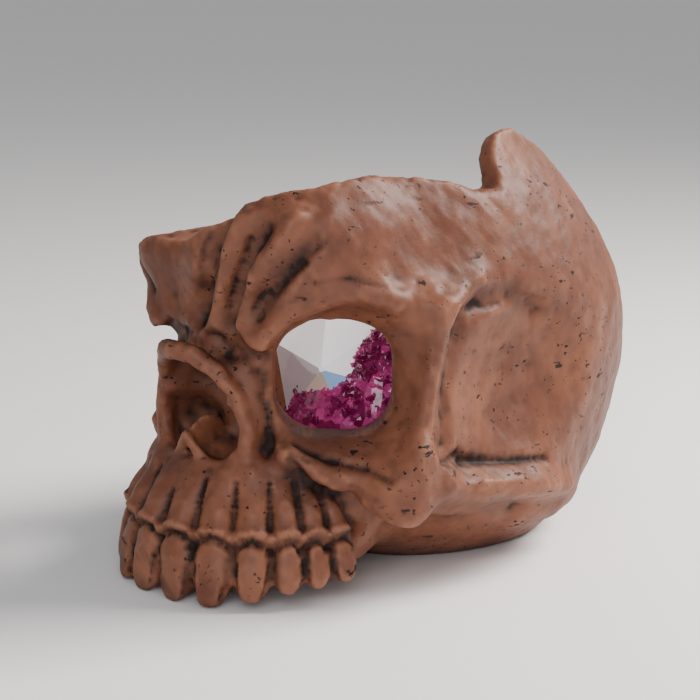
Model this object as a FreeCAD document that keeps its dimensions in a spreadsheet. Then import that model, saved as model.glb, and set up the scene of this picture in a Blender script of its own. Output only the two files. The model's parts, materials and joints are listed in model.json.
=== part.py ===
"""Aquarium ornament: a broken resin skull that bubbles, with a lift-out crystal insert.

Millimetres. +Z is up and Z = 0 is the surface the ornament stands on. The skull faces -Y and its
left side is +X. The origin lies under the middle of the cranium.
"""
import FreeCAD, Part
import Sketcher
import math
import os
import re

Vector = FreeCAD.Vector
Rotation = FreeCAD.Rotation
UP = Vector(0, 0, 1)
DOWN = Vector(0, 0, -1)
RIGHT = Vector(-1, 0, 0)

doc = FreeCAD.newDocument("bubbling_skull")
sheet = doc.addObject("Spreadsheet::Sheet", "Sizes")
values = {}


# ---------------------------------------------------------------- driving dimensions

def dimension(alias, value):
    """Write one named dimension to the next row of the sheet."""
    row = len(values) + 1
    sheet.set(f"A{row}", alias)
    sheet.set(f"B{row}", f"{value:g}")
    sheet.setAlias(f"B{row}", alias)
    values[alias] = float(value)


def table(columns, rows):
    """Write rows of named dimensions: each alias is the row's name and the column's."""
    for name, numbers in rows.items():
        for column, number in zip(columns, numbers):
            dimension(f"{name}_{column}", number)


# Cranium: level, half length along Y, half width along X, centre along Y.
CRANIUM = {
    "shell_base": (0, 33, 25.5, 14),
    "shell_foot": (5, 42, 31.5, 11.5),
    "shell_low": (14, 52.5, 39, 8),
    "shell_jaw": (25, 60, 45, 5.5),
    "shell_ear": (37, 66, 49, 3),
    "shell_middle": (50, 69, 52, 2),
    "shell_broad": (62, 68.5, 52.5, 2),
    "shell_temple": (72, 66, 52, 1.5),
    "shell_crown": (82, 62, 49.5, 0),
    "shell_rim": (92, 56.5, 46, -2),
    "shell_upper": (102, 50, 41, -4.5),
    "shell_peak": (111, 44, 36, -6),
    "shell_top": (122, 35, 28, -8),
}

# Hollow of the cranium, narrower in front where the face is thick.
BOWL = {
    "bowl_floor": (8, 34, 21, 10),
    "bowl_heel": (13, 42.5, 28, 9),
    "bowl_low": (25, 48.5, 34, 8),
    "bowl_ear": (37, 53.5, 37, 6.5),
    "bowl_middle": (50, 56, 38, 5.5),
    "bowl_broad": (62, 57, 38.5, 4.5),
    "bowl_temple": (72, 56, 38.5, 3),
    "bowl_crown": (82, 53.5, 38, 1),
    "bowl_rim": (92, 48, 36.5, -2),
    "bowl_upper": (102, 42.5, 33, -4),
    "bowl_peak": (112, 37.5, 29.5, -6),
    "bowl_top": (126, 30, 23, -8),
}

# Upper jaw under the nose.
JAW = {
    "jaw_edge": (7, 31, 28, -48.5),
    "jaw_gum": (20, 34, 31, -48.5),
    "jaw_root": (31, 27, 25, -46),
    "jaw_nose": (43, 22, 21, -45),
    "jaw_bridge": (58, 18, 17, -50),
}

# Lumps of the face on the left side, mirrored to the right: centre, half sizes, turn about Z.
PAIRED_LUMPS = {
    "frontal": (19, -38, 86, 22.5, 30, 26, 0),
    "brow_inner": (18, -58, 69, 10, 8.5, 8, 30),
    "brow_outer": (34, -46.5, 76.5, 15, 8.5, 8, 46),
    "brow_tail": (45, -30, 74, 7, 9, 7.5, 0),
    "orbit_post": (46.5, -27.5, 54, 5.5, 6, 24, 0),
    "cheekbone": (43, -36, 33, 10, 12, 12, 0),
    "cheek_knob": (46, -36, 26, 6.5, 7.5, 7, 0),
    "orbit_sill": (31, -50, 38.5, 15, 9, 7.5, 42),
    "cheek_arch": (43, -8, 25, 8, 30, 8, 0),
    "ear_bulge": (33, 16, 18, 12, 20, 11, 0),
}

# Lumps on the middle plane: centre and half sizes.
MIDDLE_LUMPS = {
    "forehead": (0, -43, 84, 20, 26, 22),
    "nose_block": (0, -60, 46, 19, 14, 18),
    "nose_bridge": (0, -67, 61, 7.5, 9, 7),
}

# Hollows on the left side, mirrored to the right.
PAIRED_HOLLOWS = {
    "temple_hollow": (58.5, -1, 51.5, 16, 32, 26, 0),
    "nostril": (7, -75, 40, 6.8, 11, 8.5, 0),
}
MIDDLE_HOLLOWS = {"nose_hollow": (0, -75, 50, 9, 12, 11.5)}

SOLID_COLUMNS = ("level", "long", "wide", "centre")
LUMP_COLUMNS = ("across", "along", "height", "half_x", "half_y", "half_z", "turn")

# Teeth of the left half, from the middle back: place round the arch in degrees, biting edge,
# half width, and height.
TEETH = {
    "incisor_first": (9.5, 0, 5.4, 20),
    "incisor_second": (27.5, 0.2, 5.4, 20),
    "canine": (45.5, 2.2, 5.1, 20),
    "premolar_first": (61, 4.2, 4.3, 17),
    "premolar_second": (73.5, 5, 4, 16),
    "molar_first": (86, 6, 4.6, 14),
}

# Broken rim: azimuth from the front (-Y) towards the left (+X), and height.
BROKEN_RIM = (
    (0, 92.5), (11, 97), (18, 100.5), (30, 102.5), (41, 105.5), (59, 105), (71, 103), (82, 100.4),
    (92, 100.4), (95, 110), (101, 115.5), (108, 118), (119, 117.4), (131, 114), (144, 109),
    (160, 103), (180, 95.5), (205, 88), (235, 83), (270, 80), (300, 80), (325, 84), (333, 88),
    (343, 90), (353, 89),
)

SIZES = {
    "casting": {
        "orbit_azimuth": 50, "orbit_across": 29, "orbit_along": -47.5, "orbit_height": 55.4,
        "window_size": 29.5, "window_round": 10.5, "window_run": 44, "window_out": 14,
        "funnel_inset": 1, "funnel_run": 19, "funnel_throat": 15.2, "funnel_mouth": 31,
        "arch_half_x": 32.6, "arch_half_y": 29.6, "arch_centre": -48.5, "tooth_thick": 4.4,
        "root_rise": 9.5, "root_inset": 6, "root_half_height": 10, "root_slim": 0.9,
        "rim_centre_height": 95, "rim_centre_along": -3, "rim_wall_x": 38, "rim_wall_y": 50,
        "cutter_reach": 110, "cutter_top": 140,
    },
    "inlet": {
        "inlet_height": 18, "wall_inside": 53, "wall_outside": 58.6, "wall_bore": 4.2,
        "spot_face": 7.6, "spot_run": 24, "flange_radius": 6.2, "flange_thick": 1.6,
        "stem_radius": 2.45, "stem_clear": 0.05, "barb_radius": 1.95, "barb_tip": 42,
        "collar_radius": 4.2, "collar_thick": 2.2, "side_gap": 0.2,
        "elbow_radius": 3.5, "elbow_along": 78.6, "elbow_neck": 6.5,
        "spigot_radius": 2.4, "spigot_length": 12, "air_passage": 1.2,
    },
    "air_stone_set": {
        "tube_inner": 2, "tube_outer": 3, "tube_front": 24, "tube_back": 48.5,
        "stone_radius": 7, "stone_front": -2, "stone_back": 22, "stone_chamfer": 1,
        "nipple_flange": 4, "nipple_flange_thick": 1.4, "nipple_radius": 2, "nipple_tip": 32,
        "nipple_root": 8, "floor_level": 8,
        "cradle_half_x": 9, "cradle_front": -9, "cradle_back": 29, "cradle_thick": 2,
        "clip_outer": 8.6, "clip_width": 5, "clip_first": 3, "clip_second": 14, "clip_top": 21.5,
        "screw_radius": 1.4, "screw_head": 2.8, "screw_head_thick": 1.6, "screw_depth": 5,
        "screw_inset": 3.4,
    },
    "insert": {
        "tray_level": 28, "tray_thick": 2.5, "tray_half_x": 25.5, "tray_half_y": 29,
        "tray_along": -6, "tray_hole": 2, "hole_ring_small": 0.36, "hole_ring_large": 0.76,
        "leg_radius": 2, "leg_across": 13, "leg_front": -13, "leg_back": 12, "leg_gap": 0.2,
        "bed_half_x": 24, "bed_half_y": 27, "bed_rise": 30, "bed_across": 1, "bed_along": -6,
        "shoulder_half_x": 11, "shoulder_half_y": 13, "shoulder_rise": 31, "shoulder_across": 13,
        "shoulder_along": -15,
        "gem_azimuth": 28, "gem_lean": 80, "gem_length": 37, "gem_radius": 20, "gem_cap": 15,
        "gem_tip_across": 6, "gem_tip_along": -31.5, "gem_tip_height": 52.3, "gem_spin": 12,
        "tip_share": 0.04, "root_share": 0.86,
    },
}

table(SOLID_COLUMNS, CRANIUM)
table(SOLID_COLUMNS, BOWL)
table(("level", "half_x", "half_y", "centre"), JAW)
table(LUMP_COLUMNS, PAIRED_LUMPS)
table(LUMP_COLUMNS, MIDDLE_LUMPS)
table(LUMP_COLUMNS, PAIRED_HOLLOWS)
table(LUMP_COLUMNS, MIDDLE_HOLLOWS)
table(("round_arch", "edge", "half_width", "tall"), TEETH)
table(("round_rim", "height"), {f"rim_{place}": pair for place, pair in enumerate(BROKEN_RIM)})
for group in SIZES.values():
    for alias, number in group.items():
        dimension(alias, number)
doc.recompute()

subparts = []


# ---------------------------------------------------------------- helpers

def cell(expression):
    """Point every alias in an expression at its cell of the sheet."""
    return re.sub(r"[A-Za-z_]\w*", lambda word: sheet_word(word.group()), str(expression))


def sheet_word(word):
    return f"Sizes.{word}" if word in values else word


def bind(item, **expressions):
    """Bind properties of an object to expressions of the sheet's aliases."""
    for name, expression in expressions.items():
        item.setExpression(name, cell(expression))
    return item


def put(item, x="0", y="0", z="0"):
    """Bind the place of an object."""
    for axis, expression in (("x", x), ("y", y), ("z", z)):
        item.setExpression(f"Placement.Base.{axis}", cell(expression))
    return item


def turn(item, axis, angle):
    """Bind the turn of an object about one axis, in degrees."""
    item.Placement.Rotation = Rotation(axis, 1)
    item.setExpression("Placement.Rotation.Angle", cell(angle))
    return item


def turn_lump(item, side, angle):
    """Turn an ellipsoid of the left side, or of the right side so that its seam is mirrored too."""
    return turn(item, UP, angle if side > 0 else f"180 - {angle}")


def cylinder(name, radius, height):
    return bind(doc.addObject("Part::Cylinder", name), Radius=radius, Height=height)


def ellipsoid(name, half_x, half_y, half_z):
    item = doc.addObject("Part::Ellipsoid", name)
    return bind(item, Radius1=half_z, Radius2=half_x, Radius3=half_y)


def box(name, size_x, size_y, size_z):
    return bind(doc.addObject("Part::Box", name), Length=size_x, Width=size_y, Height=size_z)


def union(name, pieces):
    item = doc.addObject("Part::MultiFuse", name)
    item.Refine = False
    item.Shapes = pieces
    return item


def cut(name, base, tool):
    item = doc.addObject("Part::Cut", name)
    item.Refine = False
    item.Base = base
    item.Tool = tool
    return item


def cut_all(name, base, tools):
    """Cut the tools from the base one after another."""
    for count, tool in enumerate(tools):
        base = cut(f"{name}_cut_{count}", base, tool)
    return base


def keep(item, label):
    """Make an object a sub-part of the ornament."""
    item.Label = label
    subparts.append(item)
    return item


def ellipse_loft(name, rows, first, second, long_axis_y):
    """Loft through level ellipses, each row naming its level, two half sizes and centre."""
    rings = []
    for row in rows:
        ring = doc.addObject("Part::Ellipse", f"{row}_ring")
        put(ring, "0", f"{row}_centre", f"{row}_level")
        major, minor = (first, second)
        if long_axis_y:
            ring.Placement.Rotation = Rotation(UP, 90)
        bind(ring, MajorRadius=f"{row}_{major}", MinorRadius=f"{row}_{minor}")
        rings.append(ring)
    loft = doc.addObject("Part::Loft", name)
    loft.Sections = rings
    loft.Solid = True
    loft.Ruled = False
    return loft


def lump(name, row, side):
    """One ellipsoid of a table: left (side 1), mirrored to the right (-1) or in the middle (0)."""
    item = ellipsoid(name, f"{row}_half_x", f"{row}_half_y", f"{row}_half_z")
    if side:
        turn_lump(item, side, f"{row}_turn")
    return put(item, f"{side} * {row}_across", f"{row}_along", f"{row}_height")


def turned(name, corners):
    """Turn a closed outline of (along, radius) corners about the body's X axis."""
    body = doc.addObject("PartDesign::Body", name)
    outline = body.newObject("Sketcher::SketchObject", f"{name}_outline")
    plane = [f for f in body.Origin.OriginFeatures if f.Role == "XY_Plane"][0]
    outline.AttachmentSupport = [(plane, "")]
    outline.MapMode = "FlatFace"
    points = [Vector(evaluate(along), evaluate(radius), 0) for along, radius in corners]
    count = len(points)
    for place in range(count):
        outline.addGeometry(Part.LineSegment(points[place], points[(place + 1) % count]))
    for place in range(count):
        outline.addConstraint(Sketcher.Constraint("Coincident", place, 2, (place + 1) % count, 1))
    for place, (along, radius) in enumerate(corners):
        for kind, number, expression in (("DistanceX", points[place].x, along),
                                         ("DistanceY", points[place].y, radius)):
            added = outline.addConstraint(Sketcher.Constraint(kind, -1, 1, place, 1, number))
            outline.setExpression(f"Constraints[{added}]", cell(expression))
    doc.recompute()
    spin = body.newObject("PartDesign::Revolution", f"{name}_turned")
    spin.Profile = outline
    spin.ReferenceAxis = (outline, ["H_Axis"])
    spin.Angle = 360
    body.Tip = spin
    return body


def evaluate(expression):
    """The value now of an expression of the sheet's aliases."""
    return float(sheet.evalExpression(cell(expression)))


# ---------------------------------------------------------------- skull casting

def tooth_and_root(name, side):
    """One tooth with its root on the jaw, both lumps of the casting."""
    angle = f"{name}_round_arch"
    x = f"{side} * arch_half_x * sin({angle})"
    y = f"arch_centre - arch_half_y * cos({angle})"
    tooth = ellipsoid(f"{name}_crown", f"{name}_half_width", "tooth_thick", f"{name}_tall / 2")
    turn_lump(tooth, side, angle)
    put(tooth, x, y, f"{name}_edge + {name}_tall / 2")
    slim = f"{name}_half_width * root_slim"
    root = ellipsoid(f"{name}_root", slim, slim, "root_half_height")
    turn_lump(root, side, angle)
    root_x = f"{side} * (arch_half_x - root_inset) * sin({angle})"
    root_y = f"arch_centre - (arch_half_y - root_inset) * cos({angle})"
    put(root, root_x, root_y, f"{name}_edge + {name}_tall + root_rise - 4")
    return [tooth, root]


def skull_outside():
    """The outside of the skull: the cranium with the face, and the upper jaw with its teeth."""
    face = [ellipse_loft("cranium", CRANIUM, "long", "wide", True)]
    face += [lump(f"{row}_lump", row, 0) for row in MIDDLE_LUMPS]
    jaw = [ellipse_loft("upper_jaw", JAW, "half_x", "half_y", False)]
    for side, word in ((1, "left"), (-1, "right")):
        face += [lump(f"{row}_{word}", row, side) for row in PAIRED_LUMPS]
        for name in TEETH:
            jaw += tooth_and_root(name, side)
    return union("skull_outside", [union("cranium_and_face", face), union("jaw_and_teeth", jaw)])


def rim_cutter():
    """A solid above the broken rim: planes that fan out from the cranium's axis."""
    centre = Vector(0, evaluate("rim_centre_along"), evaluate("rim_centre_height"))
    reach = evaluate("cutter_reach")
    top = evaluate("cutter_top")
    low, high = [], []
    for place in range(len(BROKEN_RIM)):
        angle = math.radians(evaluate(f"rim_{place}_round_rim"))
        wall = math.hypot(evaluate("rim_wall_x") * math.sin(angle),
                          evaluate("rim_wall_y") * math.cos(angle))
        climb = (evaluate(f"rim_{place}_height") - centre.z) * reach / wall
        x = reach * math.sin(angle)
        y = centre.y - reach * math.cos(angle)
        low.append(Vector(x, y, centre.z + climb))
        high.append(Vector(x, y, top))
    faces = [Part.Face(Part.makePolygon(high + high[:1]))]
    for place in range(len(low)):
        after = (place + 1) % len(low)
        faces.append(Part.Face(Part.makePolygon([centre, low[place], low[after], centre])))
        side = [low[place], low[after], high[after], high[place], low[place]]
        faces.append(Part.Face(Part.makePolygon(side)))
    cutter = doc.addObject("Part::Feature", "rim_cutter")
    cutter.Shape = Part.makeSolid(Part.makeShell(faces))
    return cutter


def eye_tools(side, word):
    """The funnel of one eye socket and the cushion-shaped window through the wall."""
    funnel = doc.addObject("Part::Cone", f"eye_funnel_{word}")
    bind(funnel, Radius1="funnel_throat", Radius2="funnel_mouth", Height="funnel_run")
    heading = math.radians(side * evaluate("orbit_azimuth"))
    turn(funnel, Vector(math.cos(heading), math.sin(heading), 0), 90)
    put(funnel, f"{side} * (orbit_across - funnel_inset * sin(orbit_azimuth))",
        "orbit_along + funnel_inset * cos(orbit_azimuth)", "orbit_height")
    block = box(f"eye_block_{word}", "window_size", "window_run", "window_size")
    put(block, "-window_size / 2", "-window_out", "-window_size / 2")
    window = doc.addObject("Part::Fillet", f"eye_window_{word}")
    doc.recompute()
    radius = values["window_round"]
    along = [n for n, edge in enumerate(block.Shape.Edges, 1)
             if abs(edge.tangentAt(edge.FirstParameter).y) > 0.9]
    window.Base = block
    window.Edges = [(n, radius, radius) for n in along]
    turn(window, UP if side > 0 else DOWN, "orbit_azimuth")
    put(window, f"{side} * orbit_across", "orbit_along", "orbit_height")
    return [funnel, window]


def make_skull_casting():
    """The one-piece casting: face, teeth, hollow cranium with a broken rim, and a flat foot."""
    tools = []
    for side, word in ((1, "left"), (-1, "right")):
        tools += eye_tools(side, word)
        tools += [lump(f"{row}_{word}", row, side) for row in PAIRED_HOLLOWS]
    tools += [lump(f"{row}_middle", row, 0) for row in MIDDLE_HOLLOWS]
    tools += [rim_cutter(), ellipse_loft("bowl", BOWL, "long", "wide", True)]
    bore = turn(cylinder("wall_bore_tool", "wall_bore", "spot_run"), RIGHT, 90)
    put(bore, "0", "wall_outside - spot_run / 2", "inlet_height")
    face = turn(cylinder("spot_face_tool", "spot_face", "spot_run"), RIGHT, 90)
    put(face, "0", "wall_outside", "inlet_height")
    inner = turn(cylinder("inner_face_tool", "flange_radius + 0.6", "spot_run / 4"), RIGHT, 90)
    put(inner, "0", "wall_inside - spot_run / 4", "inlet_height")
    tools += [bore, face, inner]
    for word, place in SCREW_PLACES:
        pilot = cylinder(f"pilot_{word}", "screw_radius", "screw_depth + 1")
        tools.append(put(pilot, "0", place, "floor_level - screw_depth"))
    keep(cut_all("skull", skull_outside(), tools), "skull_casting")


# ---------------------------------------------------------------- air line

SCREW_PLACES = (("front", "cradle_front + screw_inset"), ("back", "cradle_back - screw_inset"))


def lay_along_axis(body):
    """Lay a turned body along the air line, from its X axis to +Y."""
    body.Placement.Rotation = Rotation(UP, 90)
    return put(body, "0", "0", "inlet_height")


def make_inlet_grommet():
    """Rubber grommet: a sleeve through the wall with a flange on each side."""
    inner_flange = "wall_inside - flange_thick"
    outer_flange = "wall_outside + flange_thick"
    bore = "stem_radius + stem_clear"
    corners = [(inner_flange, bore), (inner_flange, "flange_radius"),
               ("wall_inside", "flange_radius"), ("wall_inside", "wall_bore"),
               ("wall_outside", "wall_bore"), ("wall_outside", "flange_radius"),
               (outer_flange, "flange_radius"), (outer_flange, bore)]
    keep(lay_along_axis(turned("grommet_body", corners)), "inlet_grommet")


def make_inlet_collar():
    """Collar pressed on the elbow's stem, so that the elbow can't be pulled out."""
    back = "wall_inside - flange_thick - side_gap"
    front = f"{back} - collar_thick"
    corners = [(front, "stem_radius"), (front, "collar_radius"),
               (back, "collar_radius"), (back, "stem_radius")]
    keep(lay_along_axis(turned("collar_body", corners)), "inlet_collar")


def make_inlet_elbow():
    """Elbow whose stem turns in the grommet; its outer leg takes the airline."""
    stem_start = "wall_inside - flange_thick - side_gap - collar_thick"
    shoulder = "wall_outside + flange_thick + side_gap"
    corners = [("barb_tip", "air_passage"), ("barb_tip", "barb_radius"),
               (stem_start, "barb_radius"), (stem_start, "stem_radius"),
               (shoulder, "stem_radius"), (shoulder, "elbow_radius"),
               ("elbow_along", "elbow_radius"), ("elbow_along", "air_passage")]
    stem = lay_along_axis(turned("elbow_stem", corners))
    corner = bind(doc.addObject("Part::Sphere", "elbow_corner"), Radius="elbow_radius")
    put(corner, "0", "elbow_along", "inlet_height")
    leg = put(cylinder("elbow_leg", "elbow_radius", "elbow_neck"),
              "0", "elbow_along", "inlet_height")
    spigot = put(cylinder("elbow_spigot", "spigot_radius", "spigot_length"),
                 "0", "elbow_along", "inlet_height + elbow_neck")
    solid = union("elbow_solid", [stem, corner, leg, spigot])
    upward = put(cylinder("elbow_passage_up", "air_passage", "elbow_neck + spigot_length + 1"),
                 "0", "elbow_along", "inlet_height")
    inward = turn(cylinder("elbow_passage_in", "air_passage", "elbow_radius + 2"), RIGHT, 90)
    put(inward, "0", "elbow_along - elbow_radius - 2", "inlet_height")
    keep(cut_all("elbow", solid, [upward, inward]), "inlet_elbow")


def make_inner_air_tube():
    """Silicone tube from the elbow's inner end to the stone's nipple."""
    corners = [("tube_front", "tube_inner"), ("tube_front", "tube_outer"),
               ("tube_back", "tube_outer"), ("tube_back", "tube_inner")]
    keep(lay_along_axis(turned("tube_body", corners)), "inner_air_tube")


def make_air_stone():
    """Mineral stone with broken edges and a socket for its nipple."""
    corners = [("stone_front", "0"), ("stone_front", "stone_radius - stone_chamfer"),
               ("stone_front + stone_chamfer", "stone_radius"),
               ("stone_back - stone_chamfer", "stone_radius"),
               ("stone_back", "stone_radius - stone_chamfer"),
               ("stone_back", "nipple_radius"),
               ("stone_back - nipple_root", "nipple_radius"),
               ("stone_back - nipple_root", "0")]
    keep(lay_along_axis(turned("stone_body", corners)), "air_stone")


def make_air_stone_nipple():
    """Hollow plastic nipple, rooted in the stone and plugged into the tube."""
    root = "stone_back - nipple_root"
    flange = "stone_back + nipple_flange_thick"
    corners = [(root, "nipple_radius / 2"), (root, "nipple_radius"),
               ("stone_back", "nipple_radius"), ("stone_back", "nipple_flange"),
               (flange, "nipple_flange"), (flange, "nipple_radius"),
               ("nipple_tip", "nipple_radius"), ("nipple_tip", "nipple_radius / 2")]
    keep(lay_along_axis(turned("nipple_body", corners)), "air_stone_nipple")


def make_stone_cradle():
    """Plate with two open clips that hold the stone, screwed to the bowl's floor."""
    plate = put(box("cradle_plate", "2 * cradle_half_x", "cradle_back - cradle_front",
                    "cradle_thick"), "-cradle_half_x", "cradle_front", "floor_level")
    clips = []
    for clip in ("clip_first", "clip_second"):
        ring = turn(cylinder(f"{clip}_ring", "clip_outer", "clip_width"), RIGHT, 90)
        clips.append(put(ring, "0", clip, "inlet_height"))
    solid = union("cradle_solid", [plate] + clips)
    seat = turn(cylinder("cradle_seat", "stone_radius", "cradle_back - cradle_front"), RIGHT, 90)
    put(seat, "0", "cradle_front", "inlet_height")
    mouth = put(box("cradle_mouth", "3 * clip_outer", "cradle_back - cradle_front", "clip_outer"),
                "-1.5 * clip_outer", "cradle_front", "clip_top")
    under = put(box("cradle_under", "3 * clip_outer", "2 * cradle_back", "clip_outer"),
                "-1.5 * clip_outer", "cradle_front", "floor_level - clip_outer")
    tools = [seat, mouth, under]
    for word, place in SCREW_PLACES:
        hole = cylinder(f"cradle_hole_{word}", "screw_radius", "cradle_thick * 2")
        tools.append(put(hole, "0", place, "floor_level - cradle_thick / 2"))
    keep(cut_all("cradle", solid, tools), "stone_cradle")


def make_cradle_screws():
    """Two pan-head screws, each with a cross recess, as one group."""
    screws = []
    for word, place in SCREW_PLACES:
        shank = put(cylinder(f"shank_{word}", "screw_radius", "screw_depth + cradle_thick"),
                    "0", place, "floor_level - screw_depth")
        top = "floor_level + cradle_thick"
        head = put(cylinder(f"head_{word}", "screw_head", "screw_head_thick"), "0", place, top)
        solid = union(f"screw_{word}", [shank, head])
        slot_level = f"{top} + screw_head_thick / 2"
        slots = []
        for name, wide, deep in (("across", "screw_head * 1.2", "screw_head / 4"),
                                 ("along", "screw_head / 4", "screw_head * 1.2")):
            slot = box(f"slot_{name}_{word}", wide, deep, "screw_head_thick")
            slots.append(put(slot, f"-({wide}) / 2", f"{place} - ({deep}) / 2", slot_level))
        screws.append(cut_all(f"screw_{word}", solid, slots))
    group = doc.addObject("Part::Compound", "screw_group")
    group.Links = screws
    keep(group, "cradle_screws")


# ---------------------------------------------------------------- crystal insert

def below_tray_top(name):
    """Everything below the tray's top face, to trim what stands on it."""
    block = box(name, "4 * bed_half_x", "4 * bed_half_y", "2 * bed_rise")
    return put(block, "-2 * bed_half_x", "-2 * bed_half_y",
               "tray_level + tray_thick - 2 * bed_rise")


def make_gem():
    """Large six-sided crystal with a pointed cap, lying forward on the bed."""
    rings = []
    for place, (level, size) in enumerate((("0", "gem_radius * root_share"),
                                           ("gem_length - gem_cap", "gem_radius"),
                                           ("gem_length", "gem_radius * tip_share"))):
        ring = doc.addObject("Part::RegularPolygon", f"gem_ring_{place}")
        ring.Polygon = 6
        bind(ring, Circumradius=size)
        turn(ring, UP, "gem_spin")
        rings.append(put(ring, "0", "0", level))
    gem = doc.addObject("Part::Loft", "gem")
    gem.Sections = rings
    gem.Solid = True
    gem.Ruled = True
    heading = math.radians(evaluate("gem_azimuth"))
    turn(gem, Vector(math.cos(heading), math.sin(heading), 0), "gem_lean")
    flat = "gem_length * sin(gem_lean)"
    put(gem, f"gem_tip_across - {flat} * sin(gem_azimuth)",
        f"gem_tip_along + {flat} * cos(gem_azimuth)",
        "gem_tip_height - gem_length * cos(gem_lean)")
    return keep(cut("gem_trimmed", gem, below_tray_top("below_gem")), "crystal_point_large")


def make_crystal_bed(gem):
    """Mound of druse on the tray, higher on one side, with a seat for the large crystal."""
    mound = ellipsoid("mound", "bed_half_x", "bed_half_y", "bed_rise")
    put(mound, "bed_across", "bed_along", "tray_level + tray_thick")
    shoulder = ellipsoid("shoulder", "shoulder_half_x", "shoulder_half_y", "shoulder_rise")
    put(shoulder, "shoulder_across", "shoulder_along", "tray_level + tray_thick")
    heap = union("heap", [mound, shoulder])
    keep(cut_all("bed", heap, [below_tray_top("below_mound"), gem]), "crystal_bed")


def make_crystal_tray():
    """Perforated tray on four legs, which stands over the stone."""
    outline = doc.addObject("Part::Ellipse", "tray_outline")
    bind(outline, MajorRadius="tray_half_y", MinorRadius="tray_half_x")
    outline.Placement.Rotation = Rotation(UP, 90)
    put(outline, "0", "tray_along", "tray_level")
    plate = doc.addObject("Part::Extrusion", "tray_plate")
    plate.Base = outline
    plate.Dir = UP
    plate.Solid = True
    bind(plate, LengthFwd="tray_thick")
    pieces = [plate]
    legs = [(side, end) for side in (-1, 1) for end in ("leg_front", "leg_back")]
    for count, (side, end) in enumerate(legs):
        leg = cylinder(f"tray_leg_{count}", "leg_radius", "tray_level - floor_level - leg_gap")
        pieces.append(put(leg, f"{side} * leg_across", end, "floor_level + leg_gap"))
    solid = union("tray_solid", pieces)
    holes = []
    for ring, many in (("hole_ring_small", 6), ("hole_ring_large", 14)):
        for step in range(many):
            angle = f"{step * 360 / many}"
            x = f"tray_half_x * {ring} * sin({angle})"
            y = f"tray_along + tray_half_y * {ring} * cos({angle})"
            hole = cylinder(f"{ring}_{step}", "tray_hole", "2 * tray_thick")
            put(hole, x, y, "tray_level - tray_thick / 2")
            near_leg = min(math.hypot(evaluate(x) - evaluate(f"{side} * leg_across"),
                                      evaluate(y) - evaluate(end)) for side, end in legs)
            if near_leg > evaluate("tray_hole + leg_radius + 0.5"):
                holes.append(hole)
    keep(cut("tray", solid, union("tray_holes", holes)), "crystal_tray")


# ---------------------------------------------------------------- build, check, write

make_skull_casting()
make_inlet_grommet()
make_inlet_collar()
make_inlet_elbow()
make_inner_air_tube()
make_air_stone()
make_air_stone_nipple()
make_stone_cradle()
make_cradle_screws()
make_crystal_bed(make_gem())
make_crystal_tray()
doc.recompute()

for item in doc.Objects:
    if "Invalid" in item.State or "Error" in item.State:
        raise RuntimeError(f"{item.Label} did not build: {item.State}")
for item in subparts:
    if item.Shape.isNull() or not item.Shape.isValid():
        raise RuntimeError(f"{item.Label} is not a valid shape")

os.makedirs("parts", exist_ok=True)
for item in subparts:
    item.Shape.exportStep(f"parts/{item.Label}.step")
    limits = item.Shape.BoundBox
    print(item.Label, "solids", len(item.Shape.Solids), "volume", round(item.Shape.Volume),
          "x", round(limits.XMin, 2), round(limits.XMax, 2),
          "y", round(limits.YMin, 2), round(limits.YMax, 2),
          "z", round(limits.ZMin, 2), round(limits.ZMax, 2))
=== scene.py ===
"""Looks of a bubbling skull ornament: a sculpted resin casting round a lift-out crystal insert.

Every length below is in millimetres unless a name says otherwise. The skull looks towards -Y and
its left side is +X.
"""

import json
import logging
import math
from collections.abc import Sequence
from dataclasses import dataclass
from enum import Enum

import bpy
import numpy as np
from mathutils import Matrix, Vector
from mathutils.bvhtree import BVHTree


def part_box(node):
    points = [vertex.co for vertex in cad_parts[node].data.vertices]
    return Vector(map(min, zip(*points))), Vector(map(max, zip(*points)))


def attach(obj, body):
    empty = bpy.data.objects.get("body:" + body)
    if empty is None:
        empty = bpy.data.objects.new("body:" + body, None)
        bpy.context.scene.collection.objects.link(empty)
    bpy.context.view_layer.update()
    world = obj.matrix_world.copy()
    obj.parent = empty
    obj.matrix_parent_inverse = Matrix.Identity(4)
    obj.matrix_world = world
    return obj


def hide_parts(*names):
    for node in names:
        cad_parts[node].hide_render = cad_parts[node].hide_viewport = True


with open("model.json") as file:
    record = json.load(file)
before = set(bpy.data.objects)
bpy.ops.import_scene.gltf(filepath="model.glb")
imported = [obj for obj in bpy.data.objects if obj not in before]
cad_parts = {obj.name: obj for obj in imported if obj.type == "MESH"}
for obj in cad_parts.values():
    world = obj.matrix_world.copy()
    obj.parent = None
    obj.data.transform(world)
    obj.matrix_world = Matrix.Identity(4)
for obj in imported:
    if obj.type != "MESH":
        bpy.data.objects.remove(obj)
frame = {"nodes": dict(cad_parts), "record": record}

MM = 0.001
METRE = 1000.0
LOG = logging.getLogger("ornament")

Triple = tuple[float, float, float]
Thing = bpy.types.Object
Tree = bpy.types.NodeTree
Socket = bpy.types.NodeSocket


class Body(Enum):
    """The moving bodies of the ornament."""

    SKULL = "skull"
    INLET = "inlet"
    INSERT = "insert"


# ---------------------------------------------------------------- finishes

def linear(hex_code: str) -> tuple[float, float, float, float]:
    """Turn an sRGB hex colour into linear light.

    Args:
        hex_code: Six hex digits with a leading hash.

    Returns:
        Red, green, blue and full alpha.
    """
    parts = [int(hex_code[place:place + 2], 16) / 255 for place in (1, 3, 5)]
    light = [part / 12.92 if part <= 0.04045 else ((part + 0.055) / 1.055) ** 2.4 for part in parts]
    return (*light, 1.0)


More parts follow.
